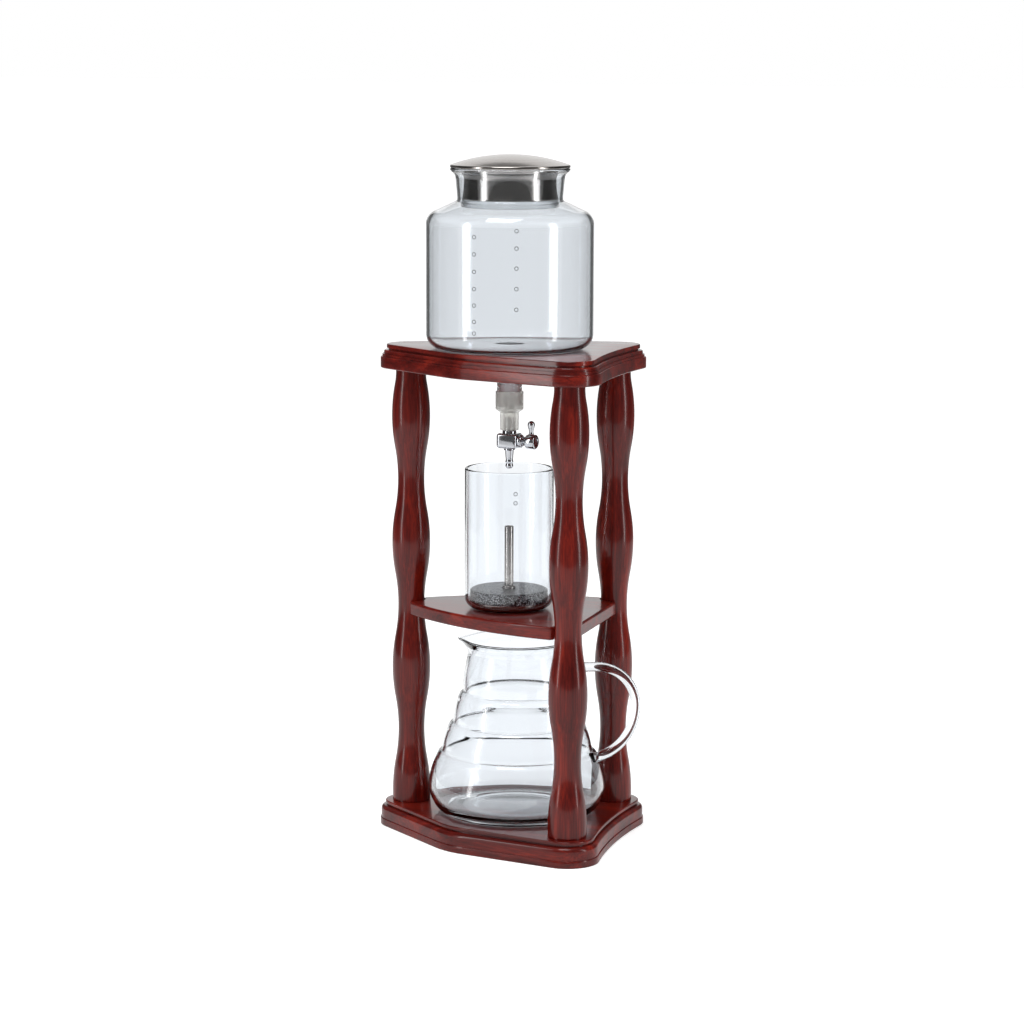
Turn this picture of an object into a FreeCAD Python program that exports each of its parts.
"""Cold drip coffee tower: wooden three-post stand, glass water jar, drip valve, dripper and carafe.

Millimetres, +Z up. The origin is the centre of the circle through the three posts, on the
underside of the base. Posts stand left (-X), front (+X, -Y) and right (+X, +Y). The jar, the
valve and the dripper share one upright axis, which lies a little to the left of that centre.
"""
import FreeCAD, Part
import Sketcher
import math
import os
import re

V = FreeCAD.Vector
doc = FreeCAD.newDocument("ColdDripTower")

SIZES = {
    # stand
    "post_circle": 87.0, "left_angle": 180.0, "front_angle": 323.0, "right_angle": 413.3,
    "base_thick": 19.0, "post_tall": 335.5, "top_thick": 18.0,
    "bulge_round": 14.5, "waist_round": 10.0, "wave_pitch": 97.0, "foot_straight": 8.0,
    "neck_round": 11.5, "neck_hollow": 0.4, "tenon_round": 8.0, "tenon_deep": 12.0,
    "lobe_round": 24.0, "bow_angle": 14.0, "hollow_angle": 7.5, "bow_round": 60.0,
    "top_lobe": 23.0, "top_bow_angle": 9.5,
    "ledge_tall": 5.5, "ledge_step": 0.7, "shoulder_level": 15.2, "shoulder_fillet": 3.2,
    "cove_inset": 5.4, "cove_tall": 1.5, "rim_inset": 4.0, "arris_fillet": 0.8,
    "side_tall": 8.6, "step_tall": 2.1, "step_inset": 1.3, "bead_tall": 2.9, "bead_inset": 2.6,
    "bead_fillet": 1.3, "wood_fit": 0.05,
    "shelf_under": 166.0, "shelf_thick": 10.0, "shelf_cut": 5.5, "shelf_ear": 12.5,
    "shelf_bow": 11.0, "shelf_fillet": 1.6, "shelf_seat": 0.25,
    "dowel_round": 2.5, "dowel_shelf": 14.0, "dowel_post": 8.0,
    "screw_round": 2.0, "screw_long": 38.0, "screw_head": 4.4, "screw_head_tall": 3.0,
    "counterbore_round": 5.2, "counterbore_deep": 4.0,
    "screw_point": 4.0, "slot_wide": 0.9, "slot_deep": 1.4,
    # tower axis and water jar
    "tower_shift": -4.0, "lift_gap": 0.3,
    "jar_round": 62.5, "jar_wall": 2.4, "jar_tall": 134.0, "jar_corner": 11.0,
    "jar_straight": 93.0, "shoulder_round": 56.4, "shoulder_rise": 102.0,
    "neck_low_round": 39.3, "neck_low_rise": 110.7, "neck_high_round": 40.6,
    "neck_high_rise": 126.5, "lip_round": 44.7, "lip_rise": 132.4,
    "drain_round": 9.35, "drain_bore": 6.9, "drain_long": 42.5,
    "flange_round": 10.75, "flange_drop": 22.2, "flange_wide": 3.8, "drain_hole_fit": 1.5,
    # lid
    "cap_round": 44.7, "cap_rim": 1.6, "cap_dome": 8.0, "cap_metal": 0.8,
    "sleeve_round": 35.9, "sleeve_waist": 34.4, "sleeve_tall": 24.0, "sleeve_metal": 0.8,
    "seal_round": 36.6, "seal_tall": 7.0, "seal_wall": 2.6,
    # silicone joint and valve
    "joint_grip": 10.2, "joint_round": 10.45, "joint_upper_tall": 13.2, "joint_cone": 2.6,
    "joint_lower_round": 6.95, "joint_hang": 18.9,
    "block_drop": 21.3, "block_tall": 11.5, "block_long": 16.3, "block_deep": 14.0,
    "block_fillet": 2.6, "inlet_round": 3.5, "inlet_drop": 9.5, "inlet_collar": 5.2,
    "inlet_collar_tall": 2.1, "flow_bore": 1.6, "nozzle_high_round": 3.7,
    "nozzle_low_round": 2.75, "nozzle_long": 15.1, "barb_round": 3.05, "barb_rise": 6.6,
    "plug_rise": 5.7, "plug_large": 4.3, "plug_small": 3.4, "plug_long": 13.5,
    "plug_fit": 0.05, "stem_round": 2.2, "nut_round": 5.0, "nut_long": 3.8,
    "hub_round": 5.65, "hub_start": 14.0, "hub_long": 8.2, "hub_fillet": 1.2,
    "lever_neck": 1.7, "lever_ball": 2.75, "lever_long": 15.8, "lever_root": 2.5,
    # dripper and filter
    "dripper_round": 33.5, "dripper_wall": 2.2, "dripper_tall": 106.5, "dripper_corner": 8.5,
    "outlet_round": 5.2, "outlet_bore": 3.0, "outlet_long": 17.5, "outlet_hole": 7.0,
    "filter_round": 29.4, "filter_tall": 10.4, "filter_pan": 0.8, "filter_stem_round": 3.45,
    "filter_stem_long": 47.0, "filter_stem_bore": 2.6, "collar_round": 4.9, "collar_tall": 2.4,
    # carafe
    "carafe_wall": 2.2, "carafe_floor": 3.0, "carafe_tall": 132.5, "carafe_round": 67.4,
    "carafe_foot": 57.0, "carafe_belly": 20.4, "carafe_back": 4.2,
    "rib_low": 43.0, "rib_low_round": 61.2, "ring_low": 47.3, "ring_low_round": 57.2,
    "rib_middle": 64.0, "rib_middle_round": 52.9, "ring_middle": 69.4,
    "ring_middle_round": 48.7, "rib_high": 87.2, "rib_high_round": 45.0, "ring_high": 92.7,
    "ring_high_round": 40.9, "rib_top": 100.5, "rib_top_round": 41.0,
    "carafe_neck": 36.7, "carafe_neck_rise": 122.5, "carafe_mouth": 41.0, "handle_angle": 8.0, "handle_rod": 3.65,
    "handle_root": 37.4, "handle_drop": 3.3, "handle_reach": 93.3, "handle_high": 115.0,
    "handle_turn": 27.3, "handle_sweep": 45.0, "handle_end_angle": 75.0, "handle_weld": 2.2,
    "spout_reach": 47.5, "spout_half": 15.0, "spout_tip": 4.0, "spout_tall": 8.0,
}

sheet = doc.addObject("Spreadsheet::Sheet", "Sizes")
for row, (alias, size) in enumerate(SIZES.items(), start=1):
    sheet.set("A%d" % row, alias)
    sheet.set("B%d" % row, str(size))
    sheet.setAlias("B%d" % row, alias)
doc.recompute()

# Sizes that follow from the driving ones.
DERIVED = {
    "plate_under": "base_thick + post_tall",
    "plate_top": "plate_under + top_thick",
    "jar_low": "plate_top + lift_gap",
    "lip_top": "jar_low + jar_tall",
    "cap_low": "lip_top + lift_gap",
    "shelf_top": "shelf_under + shelf_thick",
    "dripper_low": "shelf_top + lift_gap",
    "dripper_floor": "dripper_low + dripper_wall",
    "filter_low": "dripper_floor + lift_gap + dripper_floor_rise",
    "dripper_floor_rise": "1.6",
    "filter_high": "filter_low + filter_tall",
    "carafe_low": "base_thick + lift_gap",
    "drain_hole": "flange_round + drain_hole_fit",
    "drain_end": "jar_low - drain_long",
    "joint_top": "drain_end + joint_grip",
    "joint_low": "drain_end - joint_hang",
    "inlet_high": "drain_end - inlet_drop",
    "block_high": "drain_end - block_drop",
    "block_low": "block_high - block_tall",
    "plug_axis": "block_low + plug_rise",
    "nozzle_tip": "block_low - nozzle_long",
    "barb_high": "nozzle_tip + barb_rise",
    "lever_top": "plug_axis + lever_long",
    "plug_taper": "(plug_large - plug_small) / plug_long",
    "bay_angle": "(left_angle + front_angle) / 2",
    "wave_height": "(bulge_round - waist_round) / 2",
    "wave_middle": "(bulge_round + waist_round) / 2",
    "wave_radius": "((wave_pitch / 4)^2 + wave_height^2) / (2 * wave_height)",
    "block_middle": "(block_low + block_high) / 2",
    "lever_place": "hub_start + hub_long / 2",
}


def full(text):
    """Expand derived names and point the driving ones at the sheet."""
    def swap(match):
        word = match.group(0)
        if word in DERIVED:
            return "(" + full(DERIVED[word]) + ")"
        if word in SIZES:
            return "Sizes." + word
        return word
    return re.sub(r"[A-Za-z_][A-Za-z_0-9]*", swap, text)


def size(text):
    """The value of an expression in millimetres or degrees."""
    return float(sheet.evalExpression(full(text)))


def bind(thing, prop, text):
    thing.setExpression(prop, full(text))


def plane_of(body, role):
    for feature in body.Origin.OriginFeatures:
        if feature.Role == role:
            return feature


def new_body(name, east="0", north="0", up="0", turn=0.0):
    """A named body whose own origin stands at the given place, turned about Z."""
    body = doc.addObject("PartDesign::Body", name)
    body.Label = name
    body.Placement = FreeCAD.Placement(V(size(east), size(north), size(up)),
                                       FreeCAD.Rotation(V(0, 0, 1), turn))
    for axis, text in (("x", east), ("y", north), ("z", up)):
        bind(body, "Placement.Base." + axis, text)
    return body


def new_sketch(body, role, lift="0"):
    sketch = body.newObject("Sketcher::SketchObject", body.Name + "_sketch")
    sketch.AttachmentSupport = [(plane_of(body, role), "")]
    sketch.MapMode = "FlatFace"
    sketch.AttachmentOffset = FreeCAD.Placement(V(0, 0, size(lift)), FreeCAD.Rotation())
    bind(sketch, "AttachmentOffset.Base.z", lift)
    return sketch


def add_outline(sketch, vertices, sagittas=None):
    """Draw a closed outline through vertices, given as pairs of expressions.

    A side listed in sagittas is an arc that stands off its chord by that much, to the left
    of the direction of travel where the expression is positive.
    """
    sagittas = sagittas or {}
    places = [V(size(x), size(y), 0) for x, y in vertices]
    count = len(vertices)
    ends = []
    for index in range(count):
        start, end = places[index], places[(index + 1) % count]
        if index not in sagittas:
            number = sketch.addGeometry(Part.LineSegment(start, end))
            ends.append((number, 1, 2))
            continue
        chord = end - start
        left = V(-chord.y, chord.x, 0).normalize()
        middle = (start + end) * 0.5 + left * size(sagittas[index])
        number = sketch.addGeometry(Part.Arc(start, middle, end))
        first = sketch.getPoint(number, 1)
        forward = first.distanceToPoint(start) < first.distanceToPoint(end)
        ends.append((number, 1, 2) if forward else (number, 2, 1))
    for index in range(count):
        number, first, last = ends[index]
        after, after_first, after_last = ends[(index + 1) % count]
        sketch.addConstraint(Sketcher.Constraint("Coincident", number, last, after, after_first))
    for index in range(count):
        number, first, last = ends[index]
        for kind, text, value in (("DistanceX", vertices[index][0], places[index].x),
                                  ("DistanceY", vertices[index][1], places[index].y)):
            made = sketch.addConstraint(Sketcher.Constraint(kind, -1, 1, number, first, value))
            bind(sketch, "Constraints[%d]" % made, text)
        if index in sagittas:
            x1, y1 = vertices[index]
            x2, y2 = vertices[(index + 1) % count]
            chord = "((%s) - (%s))^2 + ((%s) - (%s))^2" % (x2, x1, y2, y1)
            rise = "abs(%s)" % sagittas[index]
            radius = "(%s) / (8 * %s) + %s / 2" % (chord, rise, rise)
            made = sketch.addConstraint(Sketcher.Constraint("Radius", number, size(radius)))
            bind(sketch, "Constraints[%d]" % made, radius)


def add_circles(sketch, places, radius):
    """Circles of one radius at places given as pairs of expressions."""
    for x, y in places:
        number = sketch.addGeometry(Part.Circle(V(size(x), size(y), 0), V(0, 0, 1), size(radius)))
        for kind, text in (("DistanceX", x), ("DistanceY", y)):
            made = sketch.addConstraint(
                Sketcher.Constraint(kind, -1, 1, number, 3, size(text)))
            bind(sketch, "Constraints[%d]" % made, text)
        made = sketch.addConstraint(Sketcher.Constraint("Radius", number, size(radius)))
        bind(sketch, "Constraints[%d]" % made, radius)


def pad(body, sketch, length):
    feature = body.newObject("PartDesign::Pad", body.Name + "_pad")
    feature.Profile = sketch
    feature.Length = size(length)
    bind(feature, "Length", length)
    doc.recompute()
    return feature


def pocket(body, sketch, length, downwards=True):
    feature = body.newObject("PartDesign::Pocket", body.Name + "_pocket")
    feature.Profile = sketch
    feature.Length = size(length)
    feature.Reversed = not downwards
    bind(feature, "Length", length)
    before = body.Shape.Volume if not body.Shape.isNull() else 0.0
    doc.recompute()
    if not feature.Shape.Volume < before - 1e-6:
        raise RuntimeError(body.Name + ": a pocket cut nothing")
    return feature


def turn_profile(body, vertices, sagittas=None, axis="V_Axis", role="XZ_Plane", groove=False):
    """Revolve an outline about the sketch's upright or level axis."""
    sketch = new_sketch(body, role)
    add_outline(sketch, vertices, sagittas)
    kind = "PartDesign::Groove" if groove else "PartDesign::Revolution"
    feature = body.newObject(kind, body.Name + "_turned")
    feature.Profile = sketch
    feature.ReferenceAxis = (sketch, [axis])
    feature.Angle = 360.0
    doc.recompute()
    return feature


def round_edges(body, radius, choose):
    """Fillet every edge of the body's tip that choose accepts."""
    tip = body.Tip
    names = ["Edge%d" % (i + 1) for i, edge in enumerate(tip.Shape.Edges) if choose(edge)]
    if not names:
        raise RuntimeError(body.Name + ": no edge to round")
    feature = body.newObject("PartDesign::Fillet", body.Name + "_fillet")
    feature.Base = (tip, names)
    feature.Radius = size(radius)
    bind(feature, "Radius", radius)
    doc.recompute()
    return feature


def at_level(height, near=0.01):
    """A test for edges that lie flat at one height in the body's own frame."""
    def choose(edge):
        box = edge.BoundBox
        return abs(box.ZMin - height) < near and abs(box.ZMax - height) < near
    return choose


def upright(edge):
    box = edge.BoundBox
    return box.ZLength > 1.0 and box.XLength < 0.01 and box.YLength < 0.01


POSTS = {"left": "left_angle", "front": "front_angle", "right": "right_angle"}
SIDES = (("left", "front", "180 * 0", "bow"), ("front", "right", "0", "hollow"),
         ("right", "left", "360", "bow"))


def post_centre(name, radius="post_circle"):
    return ("(%s) * cos(%s)" % (radius, POSTS[name]), "(%s) * sin(%s)" % (radius, POSTS[name]))


def plate_outline(sketch, lobe, apex, bow):
    """The stand's three-lobed outline, tangent all round.

    Each lobe is centred on a post. The two sides beside the left post bow outwards to a
    rounded corner halfway, and the side between front and right is hollow.
    """
    vertices, sagittas = [], {}
    for start, end, lap, kind in SIDES:
        middle = "((%s + %s + %s) / 2)" % (POSTS[start], POSTS[end], lap)
        lean = bow if kind == "bow" else "-hollow_angle"
        sx, sy = post_centre(start)
        ex, ey = post_centre(end)
        leave = "(%s - (%s))" % (middle, lean)
        meet = "(%s + (%s))" % (middle, lean)
        first = ("%s + (%s) * cos(%s)" % (sx, lobe, leave), "%s + (%s) * sin(%s)" % (sy, lobe, leave))
        last = ("%s + (%s) * cos(%s)" % (ex, lobe, meet), "%s + (%s) * sin(%s)" % (ey, lobe, meet))
        half = "(post_circle * abs(sin((%s + %s - (%s)) / 2)))" % (POSTS[end], lap, POSTS[start])
        reach = "post_circle * abs(cos((%s + %s - (%s)) / 2))" % (POSTS[end], lap, POSTS[start])
        vertices.append(first)
        if kind == "bow":
            # the corner's arc is tangent to both straights
            peak = "(%s + (%s) / cos(%s) + %s * tan(%s) - (%s) / cos(%s))" % (
                reach, lobe, lean, half, lean, apex, lean)
            for angle in (leave, meet):
                vertices.append(("%s * cos(%s) + (%s) * cos(%s)" % (peak, middle, apex, angle),
                                 "%s * sin(%s) + (%s) * sin(%s)" % (peak, middle, apex, angle)))
            sagittas[len(vertices) - 2] = "-(%s) * (1 - cos(%s))" % (apex, lean)
        else:
            sagittas[len(vertices) - 1] = "(%s - (%s) * sin(hollow_angle)) * tan(hollow_angle / 2)" % (
                half, lobe)
        vertices.append(last)
        following = {"left": "front", "front": "right", "right": "left"}[start]
        next_side = [s for s in SIDES if s[0] == end][0]
        next_middle = "((%s + %s + %s) / 2)" % (POSTS[next_side[0]], POSTS[next_side[1]], next_side[2])
        next_lean = bow if next_side[3] == "bow" else "-hollow_angle"
        back = " - 360" if end == "left" else ""
        sweep = "((%s - (%s)) - (%s%s))" % (next_middle, next_lean, meet, back)
        sagittas[len(vertices) - 1] = "-(%s) * (1 - cos(%s / 2))" % (lobe, sweep)
    add_outline(sketch, vertices, sagittas)


def stack(body, levels, apex, bow):
    """Pad the outline layer on layer: (bottom, height, lobe radius less inset)."""
    for low, tall, lobe, inset in levels:
        sketch = new_sketch(body, "XY_Plane", low)
        plate_outline(sketch, "%s - (%s)" % (lobe, inset), "%s - (%s)" % (apex, inset), bow)
        pad(body, sketch, tall)


# Base plate: a bottom ledge, a rounded shoulder, a cove and a raised flat top.
base = new_body("base_plate")
stack(base, [("0", "ledge_tall", "lobe_round", "0"),
             ("ledge_tall", "shoulder_level - ledge_tall", "lobe_round", "ledge_step"),
             ("shoulder_level", "cove_tall", "lobe_round", "cove_inset"),
             ("shoulder_level + cove_tall", "base_thick - shoulder_level - cove_tall",
              "lobe_round", "rim_inset")], "bow_round", "bow_angle")


def widest_wire_edges(body, height):
    """The edges of the largest flat face's outer wire at a height."""
    faces = [f for f in body.Tip.Shape.Faces
             if abs(f.BoundBox.ZMin - height) < 0.01 and abs(f.BoundBox.ZMax - height) < 0.01]
    face = max(faces, key=lambda f: f.OuterWire.Length)
    keys = [edge.CenterOfMass for edge in face.OuterWire.Edges]
    return lambda edge: any(edge.CenterOfMass.distanceToPoint(key) < 0.001 for key in keys)


round_edges(base, "shoulder_fillet", widest_wire_edges(base, size("shoulder_level")))
round_edges(base, "arris_fillet", widest_wire_edges(base, size("base_thick")))
round_edges(base, "arris_fillet", widest_wire_edges(base, 0.0))
sketch = new_sketch(base, "XY_Plane", "base_thick")
add_circles(sketch, [post_centre(name) for name in POSTS], "tenon_round + wood_fit")
pocket(base, sketch, "tenon_deep + wood_fit")
sketch = new_sketch(base, "XY_Plane")
add_circles(sketch, [post_centre(name) for name in POSTS], "counterbore_round")
pocket(base, sketch, "counterbore_deep", downwards=False)
sketch = new_sketch(base, "XY_Plane")
add_circles(sketch, [post_centre(name) for name in POSTS], "screw_round + wood_fit")
pocket(base, sketch, "base_thick", downwards=False)

# Top plate: an upright side, a step, a bead, a deep cove and a raised flat top.
top = new_body("top_plate", up="plate_under")
stack(top, [("0", "side_tall", "top_lobe", "0"),
            ("side_tall", "step_tall", "top_lobe", "step_inset"),
            ("side_tall + step_tall", "bead_tall", "top_lobe", "bead_inset"),
            ("side_tall + step_tall + bead_tall", "cove_tall", "top_lobe", "cove_inset + ledge_step"),
            ("side_tall + step_tall + bead_tall + cove_tall",
             "top_thick - side_tall - step_tall - bead_tall - cove_tall",
             "top_lobe", "cove_inset - ledge_step")], "bow_round", "top_bow_angle")
round_edges(top, "bead_fillet", widest_wire_edges(top, size("side_tall + step_tall + bead_tall")))
round_edges(top, "arris_fillet", widest_wire_edges(top, size("side_tall")))
round_edges(top, "arris_fillet", widest_wire_edges(top, size("top_thick")))
round_edges(top, "arris_fillet", widest_wire_edges(top, 0.0))
sketch = new_sketch(top, "XY_Plane")
add_circles(sketch, [post_centre(name) for name in POSTS], "tenon_round + wood_fit")
pocket(top, sketch, "tenon_deep + wood_fit", downwards=False)
sketch = new_sketch(top, "XY_Plane")
add_circles(sketch, [("tower_shift", "0")], "drain_hole")
pocket(top, sketch, "top_thick", downwards=False)


def make_post(name):
    """A wavy turned post with a tenon at each end and a dowel hole for the shelf."""
    angle = size(POSTS[name])
    body = new_body("post_" + name, *post_centre(name), up="base_thick", turn=angle)
    vertices = [("0", "-tenon_deep"), ("tenon_round", "-tenon_deep"), ("tenon_round", "0"),
                ("bulge_round", "0"), ("bulge_round", "foot_straight")]
    sagittas = {}
    # a quarter wave, then bulges and waists in turn, each one arc between inflections
    quarter_chord = "sqrt((wave_pitch / 4)^2 + wave_height^2)"
    quarter = "wave_radius - sqrt(wave_radius^2 - (%s)^2 / 4)" % quarter_chord
    sagittas[len(vertices) - 1] = "-(%s)" % quarter
    for step in range(7):
        vertices.append(("wave_middle", "foot_straight + wave_pitch * %g" % (0.25 + 0.5 * step)))
        if step < 6:
            side = "" if step % 2 == 0 else "-"
            sagittas[len(vertices) - 1] = side + "wave_height"
    sagittas[len(vertices) - 1] = "neck_hollow"
    vertices += [("neck_round", "post_tall"), ("tenon_round", "post_tall"),
                 ("tenon_round", "post_tall + tenon_deep"), ("0", "post_tall + tenon_deep")]
    turn_profile(body, vertices, sagittas)
    sketch = new_sketch(body, "YZ_Plane", "dowel_round")
    add_circles(sketch, [("0", "shelf_under + shelf_thick / 2 - base_thick")],
                "dowel_round + wood_fit")
    pocket(body, sketch, "bulge_round * 2")
    sketch = new_sketch(body, "XY_Plane", "-tenon_deep")
    add_circles(sketch, [("0", "0")], "screw_round + wood_fit")
    pocket(body, sketch, "screw_long - base_thick + counterbore_deep + tenon_deep",
           downwards=False)
    return body


for post_name in POSTS:
    make_post(post_name)


def across(name, radius, side):
    """A place at a radius on a post's ray, moved sideways along the tangent."""
    angle = POSTS[name]
    return ("(%s) * cos(%s) - (%s) * sin(%s)" % (radius, angle, side, angle),
            "(%s) * sin(%s) + (%s) * cos(%s)" % (radius, angle, side, angle))


# Middle shelf: bowed on two sides, its corners notched round the posts.
shelf = new_body("middle_shelf", up="shelf_under")
sketch = new_sketch(shelf, "XY_Plane")
corners, bows = [], {}
for post_name in ("left", "front", "right"):
    corners.append(across(post_name, "post_circle - shelf_cut", "-shelf_ear"))
    corners.append(across(post_name, "post_circle - shelf_cut", "shelf_ear"))
    if post_name != "front":
        bows[len(corners) - 1] = "-shelf_bow"
add_outline(sketch, corners, bows)
pad(shelf, sketch, "shelf_thick")
round_edges(shelf, "shelf_fillet * 1.5", upright)
sketch = new_sketch(shelf, "XY_Plane")
add_circles(sketch, [post_centre(name) for name in POSTS], "waist_round + shelf_seat")
pocket(shelf, sketch, "shelf_thick", downwards=False)
round_edges(shelf, "shelf_fillet", widest_wire_edges(shelf, size("shelf_thick")))
round_edges(shelf, "shelf_fillet", widest_wire_edges(shelf, 0.0))
sketch = new_sketch(shelf, "XY_Plane")
add_circles(sketch, [("tower_shift", "0")], "outlet_hole")
pocket(shelf, sketch, "shelf_thick", downwards=False)
for post_name in POSTS:
    drill = shelf.newObject("PartDesign::SubtractiveCylinder", "dowel_hole_" + post_name)
    drill.AttachmentSupport = [(plane_of(shelf, "XY_Plane"), "")]
    drill.MapMode = "FlatFace"
    bind(drill, "Radius", "dowel_round + wood_fit")
    bind(drill, "Height", "dowel_shelf + waist_round")
    x, y = post_centre(post_name)
    turn = size(POSTS[post_name])
    drill.AttachmentOffset = FreeCAD.Placement(
        V(size(x), size(y), size("shelf_thick / 2")),
        FreeCAD.Rotation(V(0, 0, 1), turn).multiply(FreeCAD.Rotation(V(0, 1, 0), -90)))
    bind(drill, "AttachmentOffset.Base.x", x)
    bind(drill, "AttachmentOffset.Base.y", y)
    bind(drill, "AttachmentOffset.Base.z", "shelf_thick / 2")
    doc.recompute()


def group(name, solids):
    """One node of several like pieces."""
    thing = doc.addObject("Part::Feature", name)
    thing.Label = name
    thing.Shape = Part.makeCompound(solids)
    thing.Placement = FreeCAD.Placement()
    return thing


def make_screw(x, y):
    """A pan-head wood screw, point up."""
    head = Part.makeCylinder(size("screw_head"), size("screw_head_tall"), V(x, y, 0))
    shank_long = size("screw_long - counterbore_deep")
    low = size("counterbore_deep - screw_head_tall")
    head.translate(V(0, 0, low))
    shank = Part.makeCylinder(size("screw_round"), shank_long - size("screw_point"),
                            V(x, y, size("counterbore_deep")))
    point = Part.makeCone(size("screw_round"), size("screw_round") * 0.15, size("screw_point"),
                          V(x, y, size("counterbore_deep") + shank_long - size("screw_point")))
    drive = Part.makeBox(size("screw_head") * 1.2, size("slot_wide"), size("slot_deep"),
                         V(x - size("screw_head") * 0.6, y - size("slot_wide") / 2, low))
    return head.fuse([shank, point]).cut(drive).removeSplitter()


centres = [[size(text) for text in post_centre(name)] for name in POSTS]
group("base_screws", [make_screw(x, y) for x, y in centres])
dowels = []
for post_name, (x, y) in zip(POSTS, centres):
    angle = math.radians(size(POSTS[post_name]))
    inward = V(-math.cos(angle), -math.sin(angle), 0)
    start = V(x, y, size("shelf_under + shelf_thick / 2")) + inward * (size("0 - dowel_round"))
    dowels.append(Part.makeCylinder(size("dowel_round"), size("dowel_shelf + waist_round"),
                                    start, inward))
group("shelf_dowels", dowels)


def tower_body(name, up="0"):
    return new_body(name, east="tower_shift", up=up)


# Water jar: blown shell with a shoulder, a flared lip and a drain neck below.
jar = tower_body("water_jar", "jar_low")
arc_rise = "(1 - cos(45))"
turn_profile(jar, [
    ("drain_bore", "-drain_long"), ("drain_round", "-drain_long"),
    ("drain_round", "-flange_drop - flange_wide"), ("drain_round", "-flange_drop"),
    ("drain_round", "0"), ("jar_round - jar_corner", "0"), ("jar_round", "jar_corner"),
    ("jar_round", "jar_straight"), ("shoulder_round", "shoulder_rise"),
    ("neck_low_round", "neck_low_rise"), ("neck_high_round", "neck_high_rise"),
    ("lip_round", "lip_rise"), ("lip_round", "jar_tall"),
    ("lip_round - 2.6", "jar_tall"),
    ("neck_high_round - jar_wall", "neck_high_rise"),
    ("neck_low_round - jar_wall", "neck_low_rise - jar_wall * 0.5"),
    ("shoulder_round - jar_wall * 0.6", "shoulder_rise - jar_wall"),
    ("jar_round - jar_wall", "jar_straight - 1"), ("jar_round - jar_wall", "jar_corner"),
    ("jar_round - jar_corner", "jar_wall"), ("drain_round + jar_wall", "jar_wall"),
    ("drain_bore", "0")],
    {2: "-(flange_round - drain_round)", 5: "-jar_corner * sqrt(2) * 0.5 * (sqrt(2) - 1)",
     7: "-1.6", 10: "0.9", 13: "-0.7", 16: "1.4",
     18: "(jar_corner - jar_wall) * sqrt(2) * 0.5 * (sqrt(2) - 1)"})

def dome(radius, rise):
    """How far half of a round dome's arc stands off its chord."""
    square = "((%s)^2 + (%s)^2)" % (radius, rise)
    sphere = "(%s / (2 * (%s)))" % (square, rise)
    return "(%s - sqrt(%s^2 - %s / 4))" % (sphere, sphere, square)


# Lid: spun dome with a folded rim, waisted stopper sleeve and a clear seal ring.
cap = tower_body("lid_cap", "cap_low")
turn_profile(cap, [
    ("0", "cap_rim + cap_dome - cap_metal"), ("cap_round - cap_metal", "cap_rim - cap_metal / 2"),
    ("cap_round - cap_metal", "cap_metal"), ("sleeve_round - sleeve_metal", "cap_metal"),
    ("sleeve_round - sleeve_metal", "0"), ("cap_round", "0"), ("cap_round", "cap_rim"),
    ("0", "cap_rim + cap_dome")],
    {0: dome("cap_round - cap_metal", "cap_dome - cap_metal / 2"),
     6: "-" + dome("cap_round", "cap_dome")})
round_edges(cap, "cap_metal * 0.45",
            lambda e: at_level(0.0)(e) and e.BoundBox.XLength > size("cap_round * 1.9"))

sleeve = tower_body("lid_sleeve", "cap_low - sleeve_tall")
turn_profile(sleeve, [
    ("0", "0"), ("sleeve_round", "0"), ("sleeve_round", "sleeve_tall"),
    ("sleeve_round - sleeve_metal", "sleeve_tall"), ("sleeve_round - sleeve_metal", "sleeve_metal"),
    ("0", "sleeve_metal")],
    {1: "sleeve_round - sleeve_waist", 3: "-(sleeve_round - sleeve_waist)"})

seal = tower_body("lid_seal", "cap_low - sleeve_tall - seal_tall")
turn_profile(seal, [
    ("seal_round - seal_wall", "0"), ("seal_round - 0.6", "0"), ("seal_round", "0.8"),
    ("seal_round", "seal_tall * 0.45"), ("seal_round - 0.9", "seal_tall * 0.6"),
    ("seal_round - 0.9", "seal_tall"), ("seal_round - seal_wall", "seal_tall")])

# Silicone joint between the jar's drain and the valve.
joint = tower_body("silicone_joint", "joint_low")
joint_shelf = "joint_top - joint_low - joint_upper_tall"
turn_profile(joint, [
    ("inlet_round + plug_fit", "0"), ("joint_lower_round", "0"),
    ("joint_lower_round", joint_shelf + " - joint_cone"), ("joint_round", joint_shelf),
    ("joint_round", "joint_top - joint_low"), ("drain_round + plug_fit", "joint_top - joint_low"),
    ("drain_round + plug_fit", "jar_low - drain_long - joint_low - plug_fit"),
    ("inlet_round + plug_fit", "jar_low - drain_long - joint_low - plug_fit - joint_cone")])
round_edges(joint, "arris_fillet", lambda e: at_level(size(joint_shelf))(e))

# Valve block, drilled down for the flow and across for the tapered plug.
block = tower_body("valve_block", "block_low")
sketch = new_sketch(block, "XY_Plane")
add_outline(sketch, [("-block_long / 2", "-block_deep / 2"), ("block_long / 2", "-block_deep / 2"),
                     ("block_long / 2", "block_deep / 2"), ("-block_long / 2", "block_deep / 2")])
pad(block, sketch, "block_high - block_low")
round_edges(block, "block_fillet", upright)
round_edges(block, "arris_fillet",
            lambda e: at_level(0.0)(e) or at_level(size("block_high - block_low"))(e))
sketch = new_sketch(block, "XY_Plane")
add_circles(sketch, [("0", "0")], "flow_bore")
pocket(block, sketch, "block_high - block_low", downwards=False)
plug_level = "plug_axis - block_low"
bore_wide = "(plug_large + plug_fit)"
bore_thin = "(plug_small + plug_fit)"


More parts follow.
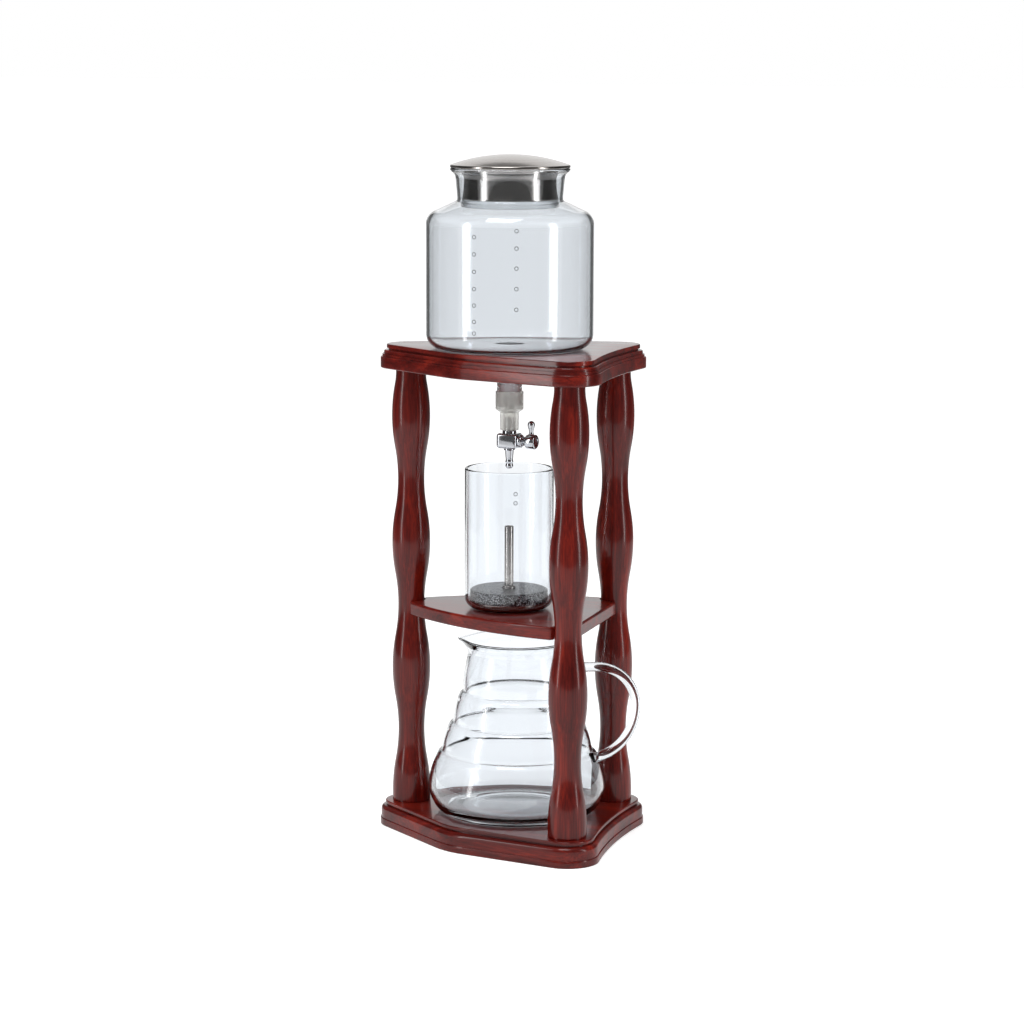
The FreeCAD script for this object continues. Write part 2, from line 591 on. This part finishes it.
def level_groove(body, name, vertices, level):
    """Cut a round pocket about an axis along X at a height."""
    sketch = new_sketch(body, "XZ_Plane")
    sketch.AttachmentOffset = FreeCAD.Placement(V(0, size(level), 0), FreeCAD.Rotation())
    bind(sketch, "AttachmentOffset.Base.y", level)
    add_outline(sketch, vertices)
    feature = body.newObject("PartDesign::Groove", name)
    feature.Profile = sketch
    feature.ReferenceAxis = (sketch, ["H_Axis"])
    feature.Angle = 360.0
    before = body.Shape.Volume
    doc.recompute()
    if not feature.Shape.Volume < before - 1e-6:
        raise RuntimeError(body.Name + ": a groove cut nothing")


level_groove(block, "plug_bore", [
    ("block_long / 2 - plug_long", "0"), ("block_long / 2", "0"), ("block_long / 2", bore_wide),
    ("block_long / 2 - plug_long", bore_thin)], plug_level)

inlet = tower_body("valve_inlet", "block_high")
turn_profile(inlet, [
    ("flow_bore", "0"), ("inlet_collar", "0"), ("inlet_collar", "inlet_collar_tall"),
    ("inlet_round", "inlet_collar_tall"), ("inlet_round", "inlet_high - block_high - 0.8"),
    ("inlet_round - 0.6", "inlet_high - block_high"), ("flow_bore", "inlet_high - block_high")])

nozzle = tower_body("valve_nozzle", "nozzle_tip")
nozzle_top = "block_low - nozzle_tip"
barb_level = "barb_high - nozzle_tip"
turn_profile(nozzle, [
    ("flow_bore", "0"), ("nozzle_low_round - 0.5", "0"), ("barb_round", "1.4"),
    ("nozzle_low_round", "3.4"), ("nozzle_low_round", "3.9"), ("barb_round", barb_level + " - 1.2"),
    ("nozzle_low_round", barb_level), ("nozzle_high_round - 0.3", nozzle_top + " - 1.6"),
    ("nozzle_high_round + 0.5", nozzle_top + " - 1.2"), ("nozzle_high_round + 0.5", nozzle_top),
    ("flow_bore", nozzle_top)])


def level_body(name):
    """A body whose turning axis lies along X at the plug's height."""
    return new_body(name, east="tower_shift", up="plug_axis")


plug_start = "block_long / 2 - plug_long + 1"
plug = level_body("valve_plug")
turn_profile(plug, [
    (plug_start, "0"), ("hub_start", "0"), ("hub_start", "stem_round"),
    ("block_long / 2 - 1", "stem_round"), ("block_long / 2 - 1", "plug_large - plug_taper"),
    (plug_start, "plug_small + plug_taper")], axis="H_Axis")
sketch = new_sketch(plug, "XY_Plane", "plug_large")
add_circles(sketch, [("0", "0")], "flow_bore")
pocket(plug, sketch, "plug_large * 2")

nut = level_body("packing_nut")
turn_profile(nut, [
    ("block_long / 2", "stem_round + plug_fit"), ("block_long / 2", "nut_round - 0.6"),
    ("block_long / 2 + 0.8", "nut_round"), ("block_long / 2 + nut_long * 0.55", "nut_round"),
    ("block_long / 2 + nut_long * 0.55 + 0.5", "nut_round - 1.2"),
    ("block_long / 2 + nut_long", "nut_round - 1.2"),
    ("block_long / 2 + nut_long", "stem_round + plug_fit")], axis="H_Axis")

washer = level_body("packing_washer")
turn_profile(washer, [
    ("block_long / 2 - 1 + plug_fit", "stem_round + plug_fit"),
    ("block_long / 2 - 1 + plug_fit", "plug_large - plug_taper - plug_fit"),
    ("block_long / 2", "plug_large - plug_taper - plug_fit"),
    ("block_long / 2", "stem_round + plug_fit")], axis="H_Axis")

hub = level_body("lever_hub")
hub_end = "hub_start + hub_long"
turn_profile(hub, [
    ("hub_start", "0"), (hub_end, "0"), (hub_end, "hub_round - hub_fillet"),
    (hub_end + " - hub_fillet", "hub_round"), ("hub_start + 1.6", "hub_round"),
    ("hub_start", "hub_round - 2")], {2: "0.35"}, axis="H_Axis")

lever = new_body("valve_lever", east="tower_shift + lever_place", up="plug_axis")
seat = "sqrt(hub_round^2 - lever_root^2)"
ball_level = "lever_top - plug_axis - lever_ball"
turn_profile(lever, [
    ("0", seat), ("lever_root", seat), ("lever_neck", "hub_round + 2.2"),
    ("lever_neck + 0.35", ball_level + " - lever_ball * 1.2"),
    ("lever_ball", ball_level), ("0", "lever_top - plug_axis")],
    {1: "0.35", 4: "-lever_ball * sqrt(2) * 0.5 * (sqrt(2) - 1)"})
sketch = new_sketch(lever, "YZ_Plane", "0 - lever_root * 2")
add_circles(sketch, [("0", "0")], "hub_round")
pocket(lever, sketch, "lever_root * 4", downwards=False)

# Dripper: a straight glass tube with a rounded bottom and a drip outlet.
dripper = tower_body("drip_tube", "dripper_low")
turn_profile(dripper, [
    ("outlet_bore", "-outlet_long"), ("outlet_round - 1.2", "-outlet_long"),
    ("outlet_round", "-outlet_long + 4"), ("outlet_round", "0"),
    ("dripper_round - dripper_corner", "0"), ("dripper_round", "dripper_corner"),
    ("dripper_round", "dripper_tall - 0.8"), ("dripper_round - 0.8", "dripper_tall"),
    ("dripper_round - dripper_wall + 0.8", "dripper_tall"),
    ("dripper_round - dripper_wall", "dripper_tall - 0.8"),
    ("dripper_round - dripper_wall", "dripper_corner"),
    ("dripper_round - dripper_corner", "dripper_wall"), ("outlet_bore", "dripper_wall")],
    {4: "-dripper_corner * sqrt(2) * 0.5 * (sqrt(2) - 1)", 6: "-0.2", 8: "-0.2",
     10: "(dripper_corner - dripper_wall) * sqrt(2) * 0.5 * (sqrt(2) - 1)"})

# Steel filter: mesh drum with a pan, a clamping collar and a tall grip tube.
drum = tower_body("filter_mesh", "filter_low")
turn_profile(drum, [
    ("filter_stem_round", "filter_pan"), ("filter_round - filter_pan", "filter_pan"),
    ("filter_round - filter_pan", "1.8"), ("filter_round", "1.8"),
    ("filter_round", "filter_tall - 1.2"), ("filter_round - 1.2", "filter_tall"),
    ("filter_stem_round", "filter_tall")], {4: "-0.35"})
pan = tower_body("filter_pan_ring", "filter_low")
turn_profile(pan, [
    ("filter_stem_bore", "0"), ("filter_round - 0.6", "0"), ("filter_round", "0.6"),
    ("filter_round", "1.75"), ("filter_round - filter_pan + 0.05", "1.75"),
    ("filter_round - filter_pan + 0.05", "filter_pan"), ("filter_stem_bore", "filter_pan")])
stem = tower_body("filter_stem", "filter_low + filter_pan")
turn_profile(stem, [
    ("filter_stem_bore", "0"), ("filter_stem_round", "0"),
    ("filter_stem_round", "filter_tall - filter_pan + filter_stem_long"),
    ("filter_stem_bore", "filter_tall - filter_pan + filter_stem_long")])
collar = tower_body("filter_collar", "filter_high")
turn_profile(collar, [
    ("filter_stem_round", "0"), ("collar_round", "0"), ("collar_round", "collar_tall * 0.55"),
    ("collar_round - 0.8", "collar_tall"), ("filter_stem_round", "collar_tall")])

# Carafe: ribbed blown glass with a pulled spout and a bent glass rod handle fused on.
carafe = new_body("carafe_glass", east="-carafe_back * cos(bay_angle)",
                  north="-carafe_back * sin(bay_angle)", up="carafe_low",
                  turn=size("handle_angle"))
WALL = [("carafe_foot", "0"), ("carafe_round - 3.3", "carafe_belly * 0.44"),
        ("carafe_round", "carafe_belly"), ("rib_low_round", "rib_low"),
        ("ring_low_round", "ring_low"), ("rib_middle_round", "rib_middle"),
        ("ring_middle_round", "ring_middle"), ("rib_high_round", "rib_high"),
        ("ring_high_round", "ring_high"), ("rib_top_round", "rib_top"),
        ("carafe_neck", "carafe_neck_rise"), ("carafe_mouth", "carafe_tall")]
SWELL = ["-1.5", "-0.7", "-1.1", "-0.8", "-0.3", "-0.8", "-0.3", "-0.8", "-0.3", "-0.6", "1.2"]
turn_profile(carafe, [("0", "0")] + WALL + [("0", "carafe_tall")],
             {index + 1: swell for index, swell in enumerate(SWELL)})


def beak(body, level, reach, half, inset):
    """A spout's outline at a level: two straights that meet in a round tip towards -X."""
    sketch = new_sketch(body, "XY_Plane", level)
    tip = "(spout_tip - (%s))" % inset
    root = "carafe_neck * 0.8"
    vertices = [("-(%s)" % root, "(%s) - (%s)" % (half, inset)),
                ("-(%s) + (%s)" % (reach, "spout_tip"), tip),
                ("-(%s) + (%s)" % (reach, "spout_tip"), "-" + tip),
                ("-(%s)" % root, "(%s) - (%s)" % (inset, half))]
    add_outline(sketch, vertices, {1: "-" + tip + " * 0.98"})
    return sketch


def spout(body, kind, name, low, high, inset):
    """Loft the spout from inside the neck out to the rim."""
    feature = body.newObject(kind, name)
    feature.Profile = low
    feature.Sections = [high]
    feature.Ruled = True
    doc.recompute()
    return feature


spout_low = "carafe_neck_rise - spout_tall"
spout(carafe, "PartDesign::AdditiveLoft", "spout_outside",
      beak(carafe, spout_low, "carafe_neck + 0.4", "spout_half * 0.55", "0"),
      beak(carafe, "carafe_tall", "spout_reach", "spout_half", "0"), "0")
path = new_sketch(carafe, "XZ_Plane")
top_x = "handle_reach - handle_turn"
sweep_x = "handle_reach - handle_sweep"
bend = "handle_high - handle_turn"
knots = [("handle_root", "handle_high - handle_drop"), (top_x, "handle_high"),
         ("handle_reach", bend),
         ("%s + handle_sweep * cos(handle_end_angle)" % sweep_x,
          "%s - handle_sweep * sin(handle_end_angle)" % bend),
         ("%s + handle_sweep * cos(handle_end_angle) - handle_weld * sin(handle_end_angle)" % sweep_x,
          "%s - handle_sweep * sin(handle_end_angle) - handle_weld * cos(handle_end_angle)" % bend)]


def add_path(sketch, vertices, centres):
    """An open run of lines and arcs through vertices; arcs are given by their middles."""
    places = [V(size(x), size(y), 0) for x, y in vertices]
    ends = []
    for index in range(len(vertices) - 1):
        if index in centres:
            middle = V(*[size(text) for text in centres[index]], 0)
            number = sketch.addGeometry(Part.Arc(places[index], middle, places[index + 1]))
        else:
            number = sketch.addGeometry(Part.LineSegment(places[index], places[index + 1]))
        near = sketch.getPoint(number, 1).distanceToPoint(places[index])
        forward = near < sketch.getPoint(number, 1).distanceToPoint(places[index + 1])
        ends.append((number, 1, 2) if forward else (number, 2, 1))
    for before, after in zip(ends, ends[1:]):
        sketch.addConstraint(
            Sketcher.Constraint("Coincident", before[0], before[2], after[0], after[1]))
    starts = [(end[0], end[1]) for end in ends] + [(ends[-1][0], ends[-1][2])]
    for (number, point), place, texts in zip(starts, places, vertices):
        for kind, value, text in (("DistanceX", place.x, texts[0]), ("DistanceY", place.y, texts[1])):
            made = sketch.addConstraint(Sketcher.Constraint(kind, -1, 1, number, point, value))
            bind(sketch, "Constraints[%d]" % made, text)
    return ends


runs = add_path(path, knots, {
    1: ("%s + handle_turn * cos(45)" % top_x, "%s + handle_turn * sin(45)" % bend),
    2: ("%s + handle_sweep * cos(handle_end_angle / 2)" % sweep_x,
        "%s - handle_sweep * sin(handle_end_angle / 2)" % bend)})
for run, radius in ((1, "handle_turn"), (2, "handle_sweep")):
    made = path.addConstraint(Sketcher.Constraint("Radius", runs[run][0], size(radius)))
    bind(path, "Constraints[%d]" % made, radius)
doc.recompute()
ring = carafe.newObject("Sketcher::SketchObject", "handle_section")
ring.AttachmentSupport = [(path, "Edge1")]
ring.MapMode = "NormalToEdge"
ring.MapPathParameter = 0.0
doc.recompute()
add_circles(ring, [("0", "0")], "handle_rod")
rod = carafe.newObject("PartDesign::AdditivePipe", "handle_rod_pipe")
rod.Profile = ring
rod.Spine = path
rod.Mode = "Standard"
doc.recompute()

INSIDE = [("carafe_foot - carafe_wall", "carafe_floor")] + [
    ("%s - carafe_wall" % x, y) for x, y in WALL[1:]]
cavity = new_sketch(carafe, "XZ_Plane")
add_outline(cavity, [("0", "carafe_floor")] + INSIDE + [("0", "carafe_tall")],
            {index + 1: swell for index, swell in enumerate(SWELL)})
hollow = carafe.newObject("PartDesign::Groove", "carafe_cavity")
hollow.Profile = cavity
hollow.ReferenceAxis = (cavity, ["V_Axis"])
hollow.Angle = 360.0
doc.recompute()
spout(carafe, "PartDesign::SubtractiveLoft", "spout_inside",
      beak(carafe, spout_low, "carafe_neck + 0.4 - carafe_wall", "spout_half * 0.55", "carafe_wall * 0.6"),
      beak(carafe, "carafe_tall", "spout_reach - carafe_wall", "spout_half", "carafe_wall * 0.6"), "0")

NODES = [thing for thing in doc.Objects
         if thing.TypeId == "PartDesign::Body" or thing.TypeId == "Part::Feature"]
for thing in doc.Objects:
    if "Invalid" in thing.State or "Error" in thing.State:
        raise RuntimeError(thing.Label + " did not compute")
for node in NODES:
    if node.Shape.isNull() or not node.Shape.isValid():
        raise RuntimeError(node.Label + " has no sound shape")
    if node.TypeId == "PartDesign::Body" and len(node.Shape.Solids) != 1:
        raise RuntimeError(node.Label + " is not one solid")
os.makedirs("parts", exist_ok=True)
for node in NODES:
    node.Shape.exportStep("parts/" + node.Label + ".step")
